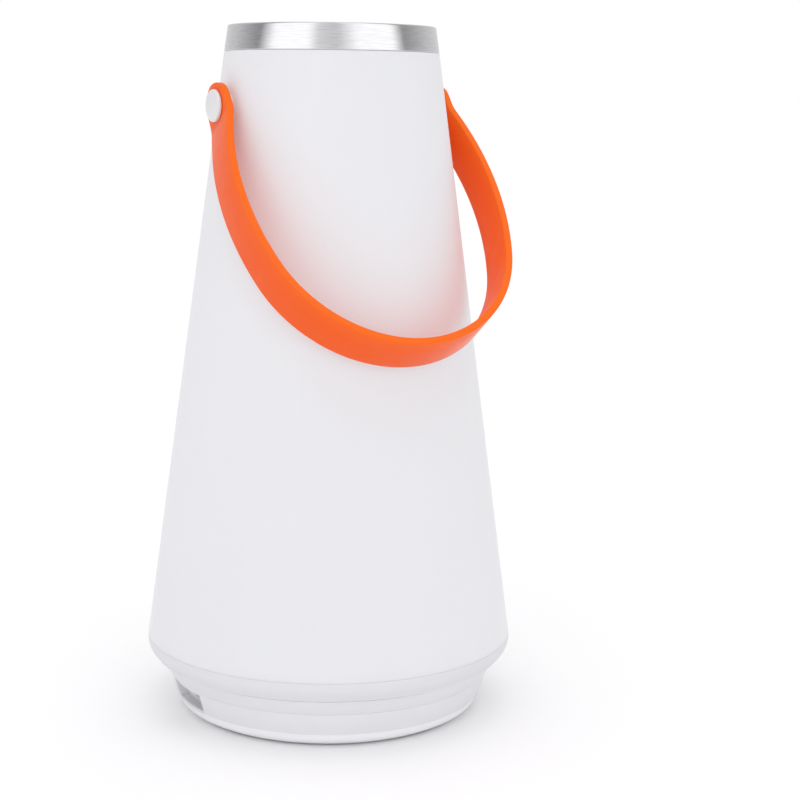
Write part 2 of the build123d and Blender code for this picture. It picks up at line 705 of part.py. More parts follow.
NODES = {
    "shade": make_shade,
    "top_ring": make_top_ring,
    "top_cap": make_top_cap,
    "touch_contact": make_touch_contact,
    "touch_lead": make_touch_lead,
    "base_housing": make_base_housing,
    "base_foot": make_base_foot,
    "foot_pad": make_foot_pad,
    "foot_screws": make_foot_screws,
    "port_panel": make_port_panel,
    "usb_socket_shell": make_usb_socket_shell,
    "usb_socket_tongue": make_usb_socket_tongue,
    "control_board": make_control_board,
    "board_components": make_board_components,
    "board_screws": make_board_screws,
    "battery_cell": make_battery_cell,
    "battery_cradle": make_battery_cradle,
    "battery_contacts": make_battery_contacts,
    "battery_leads": make_battery_leads,
    "led_board": make_led_board,
    "led_chips": make_led_chips,
    "led_screws": make_led_screws,
    "led_leads": make_led_leads,
    "strap": make_strap,
    "left_rivet": lambda: make_rivet(-1),
    "right_rivet": lambda: make_rivet(1),
    "left_washer": lambda: make_washer(-1),
    "right_washer": lambda: make_washer(1),
    "left_retainer": lambda: make_retainer(-1),
    "right_retainer": lambda: make_retainer(1),
}

os.makedirs("parts", exist_ok=True)
for name, make in NODES.items():
    export_step(make(), f"parts/{name}.step")
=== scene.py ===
"""Looks of the portable LED lantern: lathed shells, moulded strap, materials, studio and camera."""
import json
from math import cos, exp, pi, radians, sin, sqrt, tan

import bmesh
import bpy
from mathutils import Matrix, Vector


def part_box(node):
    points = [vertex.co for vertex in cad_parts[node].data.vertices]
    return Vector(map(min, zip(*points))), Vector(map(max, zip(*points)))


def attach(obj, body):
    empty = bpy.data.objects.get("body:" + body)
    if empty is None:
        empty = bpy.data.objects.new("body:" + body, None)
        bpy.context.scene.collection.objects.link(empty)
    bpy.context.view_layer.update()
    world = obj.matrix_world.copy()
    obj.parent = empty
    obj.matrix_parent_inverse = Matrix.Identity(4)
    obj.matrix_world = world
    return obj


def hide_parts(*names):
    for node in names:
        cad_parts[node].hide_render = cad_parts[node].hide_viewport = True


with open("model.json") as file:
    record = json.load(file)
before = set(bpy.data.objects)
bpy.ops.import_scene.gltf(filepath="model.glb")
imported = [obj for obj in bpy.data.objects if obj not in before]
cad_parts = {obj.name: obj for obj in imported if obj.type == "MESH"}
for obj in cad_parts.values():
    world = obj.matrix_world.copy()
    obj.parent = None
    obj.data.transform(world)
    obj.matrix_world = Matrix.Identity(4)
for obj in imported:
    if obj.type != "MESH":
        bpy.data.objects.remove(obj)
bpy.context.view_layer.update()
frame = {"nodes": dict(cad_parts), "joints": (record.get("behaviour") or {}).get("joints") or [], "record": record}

nodes = frame["nodes"]
MM = 0.001

# ---------------------------------------------------------------- sizes, from the frame and in millimetres

shade_low, shade_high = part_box("shade")
_, ring_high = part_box("top_ring")
cap_low, cap_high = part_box("top_cap")
housing_low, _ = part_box("base_housing")
foot_low, foot_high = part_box("base_foot")
_, pad_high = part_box("foot_pad")
panel_low, panel_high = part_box("port_panel")
_, rivet_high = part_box("right_rivet")
washer_low, washer_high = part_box("right_washer")

HEIGHT = ring_high.z / MM
SEAM_Z = shade_low.z / MM
RING_SEAM_Z = 195.1
SHADE_BOTTOM = shade_high.x / MM
SHADE_TOP = 31.2
SHADE_WALL = 2.0
SLOPE = (SHADE_BOTTOM - SHADE_TOP) / (RING_SEAM_Z - SEAM_Z)
RING_TOP = 30.1
RING_WALL = 1.7
RING_LIP_WIDTH = 3.2
RING_GAP = 0.15
FOOT_GAP = 0.06
PIVOT_Z = frame["joints"][0]["pos_m"][2] / MM
STRAP_TILT = 37.8
STRAP_WIDTH = 13.0
STRAP_THICKNESS = 2.1
STRAP_EDGE_RADIUS = 0.45
STRAP_CLEARANCE = 0.05
STRAP_MIDDLE_X = washer_high.x / MM + STRAP_CLEARANCE + STRAP_THICKNESS / 2
TAB_FLAT = 3.2
KICK_RADIUS = 10.0
FLARE = radians(18.8)
SIDE_RADIUS = 79.8
BOTTOM_RADIUS = 38.8
BOTTOM_HALF = radians(72.5)
LOOP_MIDDLE = 42.0
NECK_SWELL = 0.9
NECK_MIDDLE = 5.5
NECK_REACH = 4.0
LATHE_STEPS = 256
RING_STEPS = 384
PIVOT_STEPS = 128
SMALL_STEPS = 96


def shade_radius(z):
    """Outer radius of the cone at height z, in millimetres."""
    return SHADE_BOTTOM - SLOPE * (z - SEAM_Z)


# ---------------------------------------------------------------- mesh helpers

SHARP_DEGREES = 32
WELD_DISTANCE = 1e-7
ON_AXIS = 1e-6


def rounded(points, steps=5):
    """Closed outline of (r, z, fillet) corners in millimetres, each rounded to its own radius."""
    outline = []
    count = len(points)
    for index, (r, z, fillet) in enumerate(points):
        here = Vector((r, z))
        before = Vector(points[index - 1][:2]) - here
        after = Vector(points[(index + 1) % count][:2]) - here
        if fillet <= 0:
            outline.append(here)
            continue
        half = before.angle(after) / 2
        reach = fillet / tan(half)
        middle = here + (before.normalized() + after.normalized()).normalized() * fillet / sin(half)
        start = here + before.normalized() * reach - middle
        end = here + after.normalized() * reach - middle
        turn = start.angle_signed(end)
        for step in range(steps + 1):
            outline.append(middle + Matrix.Rotation(-turn * step / steps, 2) @ start)
    return outline


def mesh_object(name, verts, faces, sharp_degrees=SHARP_DEGREES):
    """New object with smooth shading and sharp edges above an angle. Vertices are in millimetres."""
    mesh = bpy.data.meshes.new(name)
    mesh.from_pydata([Vector(v) * MM for v in verts], [], faces)
    mesh.validate()
    obj = bpy.data.objects.new(name, mesh)
    bpy.context.scene.collection.objects.link(obj)
    finish_shading(obj, sharp_degrees)
    return obj


def finish_shading(obj, sharp_degrees=SHARP_DEGREES):
    """Faces the mesh outwards and marks its sharp edges."""
    work = bmesh.new()
    work.from_mesh(obj.data)
    bmesh.ops.remove_doubles(work, verts=work.verts, dist=WELD_DISTANCE)
    bmesh.ops.recalc_face_normals(work, faces=work.faces)
    work.to_mesh(obj.data)
    work.free()
    obj.data.shade_smooth()
    obj.data.set_sharp_from_angle(angle=radians(sharp_degrees))


def lathe(name, corners, steps=LATHE_STEPS, along="Z", origin=(0, 0, 0)):
    """Solid of revolution of a closed outline about Z, or about X for the pivot pieces."""
    outline = rounded(corners)
    verts = []
    faces = []
    rows = len(outline)
    for column in range(steps):
        angle = 2 * pi * column / steps
        for r, z in outline:
            x, y = r * cos(angle), r * sin(angle)
            point = (x, y, z) if along == "Z" else (z, x, y)
            verts.append(Vector(point) + Vector(origin))
    for column in range(steps):
        following = (column + 1) % steps
        for row in range(rows):
            beyond = (row + 1) % rows
            if outline[row].x < ON_AXIS and outline[beyond].x < ON_AXIS:
                continue
            faces.append((column * rows + row, following * rows + row,
                          following * rows + beyond, column * rows + beyond))
    return mesh_object(name, verts, faces)


def apply_modifiers(obj):
    """Turns an object's modifiers into its mesh."""
    evaluated = obj.evaluated_get(bpy.context.evaluated_depsgraph_get())
    mesh = bpy.data.meshes.new_from_object(evaluated)
    obj.modifiers.clear()
    obj.data = mesh


def cut(obj, cutter):
    """Takes a closed cutter out of an object."""
    modifier = obj.modifiers.new("cut", "BOOLEAN")
    modifier.operation = "DIFFERENCE"
    modifier.solver = "EXACT"
    modifier.object = cutter
    apply_modifiers(obj)
    bpy.data.objects.remove(cutter)


def box_mesh(name, low, high):
    """Box between two corners in millimetres."""
    verts = [
        (x, y, z)
        for x in (low[0], high[0]) for y in (low[1], high[1]) for z in (low[2], high[2])
    ]
    faces = [(0, 1, 3, 2), (4, 6, 7, 5), (0, 4, 5, 1), (2, 3, 7, 6), (0, 2, 6, 4), (1, 5, 7, 3)]
    return mesh_object(name, verts, faces)


# ---------------------------------------------------------------- material helpers

class Nodes:
    """A material's node tree with its Principled shader, and short ways to add to it."""

    def __init__(self, name):
        self.material = bpy.data.materials.new(name)
        self.material.use_nodes = True
        self.tree = self.material.node_tree
        self.shader = self.tree.nodes["Principled BSDF"]
        self.place = self.add("ShaderNodeTexCoord").outputs["Object"]
        self.relief = None

    def add(self, kind, **settings):
        node = self.tree.nodes.new(kind)
        for key, value in settings.items():
            setattr(node, key, value)
        return node

    def join(self, source, target):
        self.tree.links.new(source, target)

    def set(self, **values):
        """Constant values on the shader's own sockets, named with underscores for spaces."""
        for key, value in values.items():
            self.shader.inputs[key.replace("_", " ")].default_value = value

    def stretched(self, scale):
        """Object coordinates scaled along each axis."""
        mapping = self.add("ShaderNodeMapping")
        mapping.inputs["Scale"].default_value = scale
        self.join(self.place, mapping.inputs["Vector"])
        return mapping.outputs["Vector"]

    def noise(self, scale, detail=3.0, roughness=0.55, vector=None):
        node = self.add("ShaderNodeTexNoise")
        node.inputs["Scale"].default_value = scale
        node.inputs["Detail"].default_value = detail
        node.inputs["Roughness"].default_value = roughness
        self.join(vector or self.place, node.inputs["Vector"])
        return node.outputs["Fac"]

    def spread(self, source, low, high, start=0.3, end=0.7):
        """Maps a texture onto a range."""
        node = self.add("ShaderNodeMapRange")
        node.inputs["From Min"].default_value = start
        node.inputs["From Max"].default_value = end
        node.inputs["To Min"].default_value = low
        node.inputs["To Max"].default_value = high
        self.join(source, node.inputs["Value"])
        return node.outputs["Result"]

    def math(self, operation, first, second=None):
        node = self.add("ShaderNodeMath", operation=operation)
        for socket, value in zip(node.inputs, (first, second)):
            if value is None:
                continue
            if isinstance(value, (int, float)):
                socket.default_value = value
            else:
                self.join(value, socket)
        return node.outputs["Value"]

    def mix(self, factor, first, second):
        """Mixes two colours, or colour sockets, by a factor socket."""
        node = self.add("ShaderNodeMix", data_type="RGBA")
        self.join(factor, node.inputs["Factor"])
        for socket, value in ((node.inputs["A"], first), (node.inputs["B"], second)):
            if isinstance(value, (tuple, list)):
                socket.default_value = (*value[:3], 1.0)
            else:
                self.join(value, socket)
        return node.outputs["Result"]

    def colour(self, source):
        self.join(source, self.shader.inputs["Base Color"])

    def roughness(self, source):
        self.join(source, self.shader.inputs["Roughness"])

    def bump(self, height, depth, strength=1.0):
        """Adds a layer of relief. The depth is in millimetres."""
        node = self.add("ShaderNodeBump")
        node.inputs["Strength"].default_value = strength
        node.inputs["Distance"].default_value = depth * MM
        self.join(height, node.inputs["Height"])
        if self.relief is not None:
            self.join(self.relief, node.inputs["Normal"])
        self.relief = node.outputs["Normal"]
        self.join(self.relief, self.shader.inputs["Normal"])


def tint(colour, amount):
    """The colour made lighter or darker by a factor."""
    return tuple(min(1.0, channel * amount) for channel in colour)


def plastic(name, colour, rough=0.45, grain=2200, grain_depth=0.012, mottle=0.03, specular=0.45):
    """Moulded plastic: slow mottling in the colour, spark-eroded grain in the surface."""
    m = Nodes(name)
    m.set(Specular_IOR_Level=specular)
    slow = m.noise(28, 3)
    m.colour(m.mix(m.spread(slow, 0, 1), tint(colour, 1 - mottle), tint(colour, 1 + mottle)))
    fine = m.noise(grain, 2)
    m.roughness(m.spread(m.noise(90, 4), rough - 0.05, rough + 0.05))
    m.bump(fine, grain_depth)
    return m.material


def metal(name, colour, rough=0.3, scratches=1400, depth=0.004, stretch=(1, 1, 40)):
    """Bare or plated metal with fine directional marks."""
    m = Nodes(name)
    m.set(Metallic=1.0)
    lines = m.noise(scratches, 2, vector=m.stretched(tuple(s / max(stretch) for s in stretch)))
    m.colour(m.mix(m.spread(lines, 0, 1), tint(colour, 0.9), tint(colour, 1.06)))
    m.roughness(m.spread(m.noise(160, 3), rough - 0.06, rough + 0.08))
    m.bump(lines, depth)
    return m.material


# ---------------------------------------------------------------- materials

def frosted_shade():
    """Sand-blasted translucent white with very fine grain.

    The small emission stands in for light that spreads inside the wall. The lamp itself is off.
    """
    m = Nodes("frosted_shade")
    m.set(Specular_IOR_Level=0.25, Subsurface_Weight=0.3, Subsurface_Scale=0.004,
          Emission_Color=(1.0, 0.95, 1.0, 1.0), Emission_Strength=0.16)
    m.shader.inputs["Subsurface Radius"].default_value = (1.0, 1.0, 1.0)
    cloud = m.noise(14, 4)
    flow = m.noise(60, 3, vector=m.stretched((1.0, 1.0, 0.06)))
    body = m.mix(m.spread(cloud, 0, 1), (0.594, 0.606, 0.618), (0.614, 0.626, 0.638))
    m.colour(m.mix(m.spread(flow, 0, 0.35), body, (0.624, 0.636, 0.648)))
    m.roughness(m.spread(m.noise(120, 4), 0.5, 0.6))
    m.bump(m.noise(2600, 2), 0.012)
    m.bump(flow, 0.02, 0.4)
    return m.material


def brushed_ring():
    """Spun aluminium: bright, with fine lines that run round the ring."""
    line_stretch = 0.0012
    m = Nodes("brushed_ring")
    m.set(Metallic=1.0, Anisotropic=0.6, Anisotropic_Rotation=0.25)
    split = m.add("ShaderNodeSeparateXYZ")
    m.join(m.place, split.inputs["Vector"])
    turn = m.math("ARCTAN2", split.outputs["Y"], split.outputs["X"])
    radius = m.math("SQRT", m.math("ADD", m.math("MULTIPLY", split.outputs["X"], split.outputs["X"]),
                                   m.math("MULTIPLY", split.outputs["Y"], split.outputs["Y"])))
    unrolled = m.add("ShaderNodeCombineXYZ")
    m.join(m.math("MULTIPLY", turn, line_stretch), unrolled.inputs["X"])
    m.join(radius, unrolled.inputs["Y"])
    m.join(split.outputs["Z"], unrolled.inputs["Z"])
    lines = m.noise(5200, 3, 0.6, unrolled.outputs["Vector"])
    wide = m.noise(1100, 2, 0.5, unrolled.outputs["Vector"])
    m.colour(m.mix(m.spread(lines, 0, 1), (0.78, 0.78, 0.80), (0.93, 0.93, 0.94)))
    m.roughness(m.spread(wide, 0.14, 0.20))
    m.bump(lines, 0.0015)
    tangent = m.add("ShaderNodeTangent", direction_type="RADIAL", axis="Z")
    m.join(tangent.outputs["Tangent"], m.shader.inputs["Tangent"])
    return m.material


def strap_rubber():
    """Soft orange elastomer, with a dusty sheen on the outer face and less inside. The inner face's colour is a
    brighter, redder copy, painted bounce light from the shade, and the upper edge is painted lighter and yellower
    with less sheen, a painted highlight where it faces the light from above.
    """
    m = Nodes("strap_rubber")
    m.set(Specular_IOR_Level=0.22, Sheen_Roughness=0.28, Subsurface_Weight=0.1, Subsurface_Scale=0.0015)
    m.shader.inputs["Subsurface Radius"].default_value = (1.0, 0.25, 0.08)
    # Painted highlight: the strap's upper edge gets a lighter, yellower colour, standing in for light from above.
    # The masks below find that edge.
    edge_inset = 0.35
    crisp_reach = 0.0003
    gradual_reach = 0.005
    side_reach = 0.004
    tilt = radians(STRAP_TILT)
    across = m.add("ShaderNodeVectorMath", operation="DOT_PRODUCT")
    m.join(m.place, across.inputs[0])
    across.inputs[1].default_value = (0.0, -cos(tilt), sin(tilt))
    edge_at = (PIVOT_Z * sin(tilt) + STRAP_WIDTH / 2 - edge_inset) * MM
    crisp = m.spread(across.outputs["Value"], 0, 0.5, edge_at - crisp_reach, edge_at + crisp_reach)
    gradual = m.spread(across.outputs["Value"], 0, 0.4, edge_at - gradual_reach, edge_at)
    edge = m.math("ADD", crisp, gradual)
    # Painted bounce light: the inner face, which looks in at the shade, gets a brighter, redder copy of the
    # colour. The mask below tells it from the outer face.
    from_middle = m.add("ShaderNodeVectorMath", operation="SUBTRACT")
    m.join(m.place, from_middle.inputs[0])
    from_middle.inputs[1].default_value = (0.0, -LOOP_MIDDLE * sin(tilt) * MM,
                                           (PIVOT_Z - LOOP_MIDDLE * cos(tilt)) * MM)
    outwards = m.add("ShaderNodeVectorMath", operation="DOT_PRODUCT")
    m.join(from_middle.outputs["Vector"], outwards.inputs[0])
    m.join(m.add("ShaderNodeTexCoord").outputs["Normal"], outwards.inputs[1])
    outer = m.spread(outwards.outputs["Value"], 0, 1, -side_reach, side_reach)
    slow = m.noise(35, 4)
    body = m.mix(m.spread(slow, 0, 1), (0.83, 0.092, 0.003), (0.87, 0.104, 0.005))
    fine = m.noise(1900, 3, 0.65)
    face = m.mix(m.spread(fine, 0, 0.5), body, (0.89, 0.118, 0.009))
    # Inner face: painted bounce light, a brighter, redder colour than the outer face.
    face = m.mix(outer, (0.99, 0.108, 0.003), face)
    # Upper edge: painted highlight, a lighter, yellower colour than the face.
    m.colour(m.mix(edge, face, (0.90, 0.145, 0.005)))
    dust = m.math("MULTIPLY", m.spread(outer, 0.06, 0.38, 0.0, 1.0),
                  m.spread(edge, 1.0, 0.1, 0.0, 1.0))
    m.join(dust, m.shader.inputs["Sheen Weight"])
    m.roughness(m.spread(m.noise(260, 3), 0.42, 0.54))
    m.bump(fine, 0.03)
    m.bump(m.noise(420, 2), 0.02, 0.6)
    return m.material


def printed_board():
    """Green solder mask with a faint pattern of copper tracks under it."""
    m = Nodes("printed_board")
    m.set(Specular_IOR_Level=0.5)
    tracks = m.add("ShaderNodeTexBrick")
    tracks.inputs["Scale"].default_value = 300
    tracks.inputs["Mortar Size"].default_value = 0.03
    tracks.inputs["Color1"].default_value = (0.02, 0.16, 0.06, 1)
    tracks.inputs["Color2"].default_value = (0.02, 0.19, 0.07, 1)
    tracks.inputs["Mortar"].default_value = (0.05, 0.30, 0.12, 1)
    m.join(m.place, tracks.inputs["Vector"])
    m.colour(tracks.outputs["Color"])
    m.roughness(m.spread(m.noise(200, 3), 0.25, 0.4))
    m.bump(tracks.outputs["Fac"], 0.02)
    return m.material


def cell_sleeve():
    """Blue shrink sleeve with soft lengthwise wrinkles."""
    m = Nodes("cell_sleeve")
    m.set(Specular_IOR_Level=0.5, Coat_Weight=0.3, Coat_Roughness=0.2)
    wrinkle = m.noise(260, 3, vector=m.stretched((1.0, 0.08, 1.0)))
    m.colour(m.mix(m.spread(wrinkle, 0, 1), (0.03, 0.14, 0.36), (0.04, 0.18, 0.44)))
    m.roughness(m.spread(m.noise(120, 3), 0.25, 0.4))
    m.bump(wrinkle, 0.05)
    return m.material


def led_phosphor():
    """Yellow phosphor pad in a white LED package."""
    m = Nodes("led_phosphor")
    m.set(Specular_IOR_Level=0.4, Emission_Strength=0.0)
    m.colour(m.mix(m.spread(m.noise(1800, 2), 0, 1), (0.88, 0.70, 0.16), (0.93, 0.80, 0.30)))
    m.roughness(m.spread(m.noise(500, 2), 0.35, 0.5))
    m.bump(m.noise(2500, 2), 0.02)
    return m.material


def white_shell():
    """Satin white moulding, with painted light by height: paler on the strip where the foot turns under, painted
    bounce light from the floor, and darker on the shoulder's slope, painted shade where it faces down.
    """
    turned_under = (0.0044, 0.0048)
    slope_starts = (0.0165, 0.0175)
    slope_ends = (0.023, 0.0245)
    m = Nodes("white_shell")
    m.set(Specular_IOR_Level=0.45)
    height = m.add("ShaderNodeSeparateXYZ")
    m.join(m.place, height.inputs["Vector"])
    # Painted bounce light: the strip where the foot turns under is made paler by height, standing in for light
    # from the floor.
    under = m.spread(height.outputs["Z"], 1, 0, *turned_under)
    # Painted shade: the shoulder's downward slope is made darker by height.
    painted_slope_shade = m.math("MULTIPLY", m.spread(height.outputs["Z"], 0, 1, *slope_starts),
                    m.spread(height.outputs["Z"], 1, 0, *slope_ends))
    slow = m.noise(28, 3)
    body = m.mix(m.spread(slow, 0, 1), (0.725, 0.725, 0.748), (0.745, 0.745, 0.768))
    # Darker colour on the slope: painted shade.
    body = m.mix(painted_slope_shade, body, (0.695, 0.695, 0.718))
    # Paler colour on the foot's underside: painted bounce light.
    m.colour(m.mix(under, body, (0.86, 0.86, 0.88)))
    m.roughness(m.spread(m.noise(90, 4), 0.37, 0.47))
    m.bump(m.noise(2400, 2), 0.012)
    return m.material


looks = {
    "frosted_shade": frosted_shade(),
    "ring_metal": brushed_ring(),
    "white_cap": plastic("satin_cap", (0.82, 0.82, 0.84), 0.35, grain=3000, grain_depth=0.006),
    "white_shell": white_shell(),
    "strap_tpu": strap_rubber(),
    "rivet_white": plastic("rivet_white", (0.73, 0.73, 0.745), 0.32, grain=2600, grain_depth=0.006,
                           mottle=0.01),
    "port_grey": plastic("port_grey", (0.72, 0.72, 0.74), 0.5, grain=1800, grain_depth=0.02),
    "pad_rubber": plastic("pad_rubber", (0.36, 0.36, 0.37), 0.75, grain=1300, grain_depth=0.06,
                          specular=0.3),
    "socket_steel": metal("socket_steel", (0.62, 0.62, 0.63), 0.28),
    "black_plastic": plastic("black_plastic", (0.025, 0.025, 0.027), 0.5),
    "screw_steel": metal("screw_steel", (0.60, 0.60, 0.62), 0.32, stretch=(1, 30, 1)),
    "board_green": printed_board(),
    "component_black": plastic("component_black", (0.03, 0.03, 0.03), 0.55, grain=1500,
                               grain_depth=0.02),
    "cell_wrap": cell_sleeve(),
    "led_board_white": plastic("led_board_white", (0.80, 0.80, 0.78), 0.38, grain=1500,
                               grain_depth=0.008),
    "led_yellow": led_phosphor(),
    "contact_metal": metal("contact_metal", (0.72, 0.68, 0.56), 0.25),
    "lead_red": plastic("lead_red", (0.50, 0.02, 0.02), 0.45, grain=900, grain_depth=0.02),
    "lead_white": plastic("lead_white", (0.78, 0.78, 0.78), 0.45, grain=900, grain_depth=0.02),
    "washer_nylon": plastic("washer_nylon", (0.80, 0.80, 0.78), 0.5),
}


def dress(obj, slot):
    """Gives an object one material slot's look."""
    obj.data.materials.clear()
    obj.data.materials.append(looks[slot])


def piece(obj, slot, body, *replaced):
    """A finished Blender piece: its look, its body and the CAD nodes it stands for."""
    dress(obj, slot)
    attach(obj, body)
    if replaced:
        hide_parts(*replaced)


for part in frame["record"]["subparts"]:
    dress(nodes[part["node"]], part["material_slot"])

# ---------------------------------------------------------------- shade and top

def build_shade():
    """Hollow cone with softened seam edges, and the flat bosses at the strap pivots."""
    spigot_step = 1.8
    spigot_wall = 1.8
    neck_height = 2.0
    spigot = SHADE_TOP - spigot_step
    spigot_inner = spigot - spigot_wall
    top = shade_high.z / MM
    neck = RING_SEAM_Z - neck_height
    shell = lathe("shade_skin", [
        (SHADE_BOTTOM - SHADE_WALL, SEAM_Z, 0.0),
        (SHADE_BOTTOM, SEAM_Z, 0.15),
        (SHADE_TOP, RING_SEAM_Z, 0.15),
        (spigot, RING_SEAM_Z, 0.0),
        (spigot, top, 0.2),
        (spigot_inner, top, 0.2),
        (spigot_inner, neck, 0.0),
        (shade_radius(neck - neck_height) - SHADE_WALL, neck - neck_height, 0.0),
    ])
    piece(shell, "frosted_shade", "lamp", "shade")
    boss_bore = 2.05
    boss_radius = 3.4
    boss_root = 31.0
    boss_face = washer_low.x / MM
    for side, label in ((-1, "left"), (1, "right")):
        boss = lathe(f"pivot_boss_{label}", [
            (boss_bore, side * boss_root, 0.0),
            (boss_radius, side * boss_root, 0.0),
            (boss_radius, side * boss_face, 0.3),
            (boss_bore, side * boss_face, 0.0),
        ], steps=SMALL_STEPS, along="X", origin=(0, 0, PIVOT_Z))
        piece(boss, "frosted_shade", "lamp")


def build_ring():
    """Metal ring with rolled rims above and below."""
    bore = SHADE_TOP - RING_WALL
    bottom = RING_SEAM_Z + RING_GAP
    lip_under = cap_high.z / MM
    ring = lathe("ring_skin", [
        (bore, bottom, 0.0),
        (SHADE_TOP - SLOPE * RING_GAP, bottom, 0.1),
        (RING_TOP, HEIGHT, 0.55),
        (RING_TOP - RING_LIP_WIDTH, HEIGHT, 0.5),
        (RING_TOP - RING_LIP_WIDTH, lip_under, 0.0),
        (bore, lip_under, 0.0),
    ], steps=RING_STEPS)
    piece(ring, "ring_metal", "lamp", "top_ring")


def build_cap():
    """Satin disc inside the ring, with a shallow groove near its rim."""
    cap_inset = 1.9
    groove_depth = 0.25
    low = cap_low.z / MM
    high = cap_high.z / MM
    radius = SHADE_TOP - cap_inset
    cap = lathe("cap_skin", [
        (0.0, low, 0.0),
        (radius, low, 0.0),
        (radius, high, 0.0),
        (26.4, high, 0.0),
        (26.0, high - groove_depth, 0.1),
        (25.4, high - groove_depth, 0.1),
        (25.0, high, 0.1),
        (0.0, high, 0.0),
    ])
    piece(cap, "white_cap", "lamp", "top_cap")


# ---------------------------------------------------------------- base

def build_housing():
    """Shoulder, chamfer, shadow groove and tapered band, with the deck inside."""
    register_height = 4.6
    register_wall = 1.6
    register_clearance = 0.12
    deck_thickness = 2.0
    skirt_bore = 46.0
    groove_radius = 50.9
    groove_low = 16.0
    groove_high = 16.5
    shoulder_drop = 2.57
    register_top = SEAM_Z + register_height
    register_low = SHADE_BOTTOM - SHADE_WALL - register_clearance
    register_high = shade_radius(register_top) - SHADE_WALL - register_clearance
    low = housing_low.z / MM
    deck_top = SEAM_Z + deck_thickness
    shoulder_z = SEAM_Z - shoulder_drop
    housing = lathe("housing_skin", [
        (0.0, SEAM_Z, 0.0),
        (50.6, SEAM_Z, 0.0),
        (49.6, 18.8, 0.0),
        (skirt_bore, 14.5, 0.0),
        (skirt_bore, low, 0.0),
        (48.1, low, 0.06),
        (51.2, groove_low, 0.15),
        (groove_radius, groove_low, 0.0),
        (groove_radius, groove_high, 0.0),
        (52.4, groove_high, 0.3),
        (shade_radius(shoulder_z) - 0.08, shoulder_z, 5.3),
        (SHADE_BOTTOM, SEAM_Z, 0.15),
        (register_low, SEAM_Z, 0.0),
        (register_high, register_top, 0.2),
        (register_high - register_wall, register_top, 0.2),
        (register_high - register_wall, deck_top, 0.0),
        (0.0, deck_top, 0.0),
    ])
    piece(housing, "white_shell", "lamp", "base_housing")


def build_foot():
    """Foot ring with its crease and rounded lower edge, and the port opening cut in its left side."""
    pad_clearance = 0.2
    floor_under = 1.0
    floor_top = 2.6
    collar_outer = 45.8
    collar_inner = 44.2
    opening_top = 11.3
    opening_from = -55
    opening_to = -41
    top = housing_low.z / MM - FOOT_GAP
    under = foot_low.z / MM
    pad_recess = pad_high.x / MM + pad_clearance
    collar_top = foot_high.z / MM
    foot = lathe("foot_skin", [
        (0.0, floor_under, 0.0),
        (pad_recess, floor_under, 0.0),
        (pad_recess, under, 0.0),
        (42.0, under, 0.3),
        (45.1, 2.0, 3.4),
        (46.0, 4.4, 0.1),
        (46.2, 4.6, 0.1),
        (47.4, 8.0, 8.0),
        (48.0, top, 0.06),
        (collar_outer, top, 0.0),
        (collar_outer, collar_top, 0.0),
        (collar_inner, collar_top, 0.0),
        (collar_inner, 6.2, 0.0),
        (41.5, floor_top, 0.0),
        (0.0, floor_top, 0.0),
    ])
    half = panel_high.y / MM
    opening = box_mesh("opening", (opening_from, -half, panel_low.z / MM),
                       (opening_to, half, opening_top))
    cut(foot, opening)
    finish_shading(foot)
    piece(foot, "white_shell", "lamp", "base_foot")


# ---------------------------------------------------------------- rivets

def build_rivets():
    """Flat snap rivets with a rounded rim. The head's underside rises to the rim, clear of the strap."""
    tail = 28.4
    shank_radius = 2.0
    flat_radius = 3.3
    head_radius = 4.6
    head_height = 1.4
    rim_rise = 0.13
    crown = 0.25
    under = rivet_high.x / MM - head_height
    outer = rivet_high.x / MM
    for side, label in ((-1, "left"), (1, "right")):
        rivet = lathe(f"rivet_{label}", [
            (0.0, side * tail, 0.0),
            (shank_radius, side * tail, 0.0),
            (shank_radius, side * under, 0.0),
            (flat_radius, side * under, 0.0),
            (head_radius, side * (under + rim_rise), 0.15),
            (head_radius, side * (outer - crown), 0.6),
            (0.0, side * outer, 0.0),
        ], steps=PIVOT_STEPS, along="X", origin=(0, 0, PIVOT_Z))
        piece(rivet, "rivet_white", "lamp", f"{label}_rivet")


# ---------------------------------------------------------------- strap

def straight_on(stations, length, steps):
    """Carries the strap's path on along its heading."""
    x, y, heading = stations[-1]
    for _ in range(steps):
        x += length / steps * sin(heading)
        y -= length / steps * cos(heading)
        stations.append((x, y, heading))


def arc_on(stations, turn, radius, steps):
    """Carries the strap's path on round an arc. A positive turn bends it outwards."""
    x, y, start = stations[-1]
    side = 1 if turn > 0 else -1
    centre_x = x + side * radius * cos(start)
    centre_y = y + side * radius * sin(start)
    for step in range(1, steps + 1):
        heading = start + turn * step / steps
        x = centre_x - side * radius * cos(heading)
        y = centre_y - side * radius * sin(heading)
        stations.append((x, y, heading))


def strap_path():
    """Middle line of the strap's right half, from the tab's end to the lowest point: x, y and heading.

    The heading is the lean away from straight down, positive outwards.
    """
    end_steps = 12
    tab_steps = 4
    half_width = BOTTOM_RADIUS * sin(BOTTOM_HALF) + SIDE_RADIUS * (1 - sin(BOTTOM_HALF))
    run_out = (KICK_RADIUS + SIDE_RADIUS) * (1 - cos(FLARE))
    straight = (half_width - STRAP_MIDDLE_X - run_out) / sin(FLARE)
    stations = []
    for step in range(end_steps + 1):
        up = STRAP_WIDTH / 2 * cos(pi / 2 * step / end_steps)
        stations.append((STRAP_MIDDLE_X, up, 0.0))
    for step in range(1, tab_steps + 1):
        stations.append((STRAP_MIDDLE_X, -TAB_FLAT * step / tab_steps, 0.0))
    arc_on(stations, FLARE, KICK_RADIUS, 10)
    straight_on(stations, straight, 2)
    arc_on(stations, -FLARE - pi / 2 + BOTTOM_HALF, SIDE_RADIUS, 26)
    arc_on(stations, -BOTTOM_HALF, BOTTOM_RADIUS, 48)
    return stations


